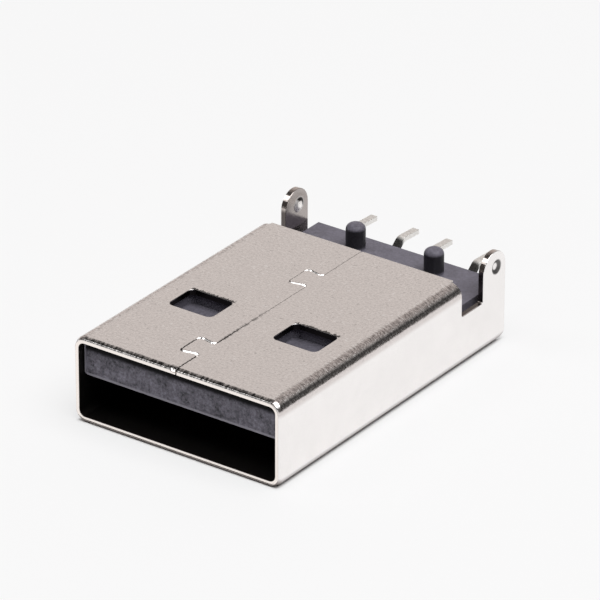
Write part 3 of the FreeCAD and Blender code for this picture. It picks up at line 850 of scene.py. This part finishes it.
def dress_node(name, material, width):
    """Give a carried-over node its finish and break its sharp edges."""
    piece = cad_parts[name]
    piece.data.materials.clear()
    piece.data.materials.append(material)
    weld = piece.modifiers.new("weld", "WELD")
    weld.merge_threshold = 1e-6
    flatten = piece.modifiers.new("flatten", "DECIMATE")
    flatten.decimate_type = "DISSOLVE"
    flatten.angle_limit = np.radians(0.5)
    bevel = piece.modifiers.new("broken_edges", "BEVEL")
    bevel.width = width * MM
    bevel.segments = 2
    bevel.limit_method = "ANGLE"
    bevel.angle_limit = np.radians(30)
    bevel.harden_normals = True


# Stage


def add_floor():
    """A plain white floor, seen directly and in reflections at an even tone, except right under the plug."""
    bpy.ops.mesh.primitive_plane_add(size=4)
    floor = bpy.context.object
    floor.name = "floor"
    finish = Finish("white_floor")
    finish.coat({"Base Color": FLOOR, "Roughness": 0.9, "Specular IOR Level": 0.0})
    rays = finish.node("LightPath").outputs
    seen = finish.sum(rays["Is Camera Ray"], rays["Is Glossy Ray"], rays["Is Transmission Ray"])
    x, y, _ = finish.millimetres(finish.place())
    clear_side = finish.step(finish.math("ABSOLUTE", x), HALF_WIDTH - 0.32, HALF_WIDTH - 0.06)
    clear_front = finish.step(y, FRONT + 0.1, FRONT - 0.15)
    clear_rear = finish.step(y, SHELL_HIGH[1], SHELL_HIGH[1] + 0.5)
    clear = finish.math("MAXIMUM", clear_side, finish.sum(clear_front, clear_rear), use_clamp=True)
    share = finish.math("MULTIPLY", seen, finish.product(clear, FLOOR_GLOW), use_clamp=True)
    glow = finish.node("Emission", FLOOR_TONE, 1.0).outputs[0]
    mixed = finish.node("MixShader", share, finish.shader.outputs[0], glow).outputs[0]
    finish.feed(finish.tree.nodes["Material Output"].inputs["Surface"], mixed)
    floor.data.materials.append(finish.material)


def direction(azimuth, elevation):
    """Unit vector from the plug towards a place: azimuth 0 is in front of the mouth, 90 on the right."""
    a, e = np.radians(azimuth), np.radians(elevation)
    return np.array([np.sin(a) * np.cos(e), -np.cos(a) * np.cos(e), np.sin(e)])


def add_softbox(name, azimuth, elevation, distance, size, power):
    """A round lamp that looks at the plug; its distance and size are in metres."""
    data = bpy.data.lights.new(name, "AREA")
    data.shape = "DISK"
    data.size = size
    data.energy = power
    light = bpy.data.objects.new(name, data)
    bpy.context.scene.collection.objects.link(light)
    way = Vector(direction(azimuth, elevation))
    light.location = way * distance
    light.rotation_euler = way.to_track_quat("Z", "Y").to_euler()


def add_camera():
    """The photograph's view, through a long lens."""
    back = direction(*VIEW_WAY)
    right = np.cross((0, 0, 1), back)
    right /= np.linalg.norm(right)
    up = np.cross(back, right)
    roll = np.radians(VIEW_ROLL)
    turned_right = right * np.cos(roll) + up * np.sin(roll)
    turned_up = up * np.cos(roll) - right * np.sin(roll)
    data = bpy.data.cameras.new("camera")
    data.lens = VIEW_LENS
    data.sensor_width = 36.0
    data.clip_start = 0.01
    camera = bpy.data.objects.new("camera", data)
    bpy.context.scene.collection.objects.link(camera)
    place = np.array(VIEW_POINT) * MM + back * VIEW_DISTANCE * MM
    turned = Matrix((turned_right, turned_up, back)).transposed().to_4x4()
    camera.matrix_world = Matrix.Translation(place) @ turned
    bpy.context.scene.camera = camera


def set_world():
    """A dark studio with a pale wall low behind on the left, and a greyer one higher behind."""
    world = bpy.data.worlds.new("studio")
    bpy.context.scene.world = world
    world.use_nodes = True
    studio = Nodes(world.node_tree)
    x, y, z = studio.axes(studio.node("TexCoord").outputs["Generated"])
    on_grey = studio.product(studio.step(y, 0.16, 0.46), studio.step(z, 0.2, 0.45), studio.step(x, 0.52, 0.2))
    on_pale = studio.product(studio.step(z, 0.66, 0.54), studio.step(x, 0.1, -0.3), studio.step(y, 0.1, 0.4))
    colour = studio.colour(on_pale, studio.colour(on_grey, DARK_STUDIO, GREY_WALL), PALE_WALL)
    studio.feed(studio.tree.nodes["Background"].inputs["Color"], colour)


shell = make_shell(satin_nickel())
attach(shell, "root")
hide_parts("shell")

dress_node("housing", dark_moulding(), MOULDING_EDGE)
contact_finish = bright_tin()
for contact in ("contact_outer_left", "contact_inner_left", "contact_inner_right", "contact_outer_right"):
    dress_node(contact, contact_finish, CONTACT_EDGE)

add_floor()
add_softbox("overhead", azimuth=82, elevation=68, distance=0.5, size=0.5, power=2.65)
add_softbox("spark", azimuth=-53, elevation=50, distance=0.5, size=0.23, power=0.36)
add_camera()
set_world()

scene = bpy.context.scene
scene.view_settings.view_transform = "Standard"
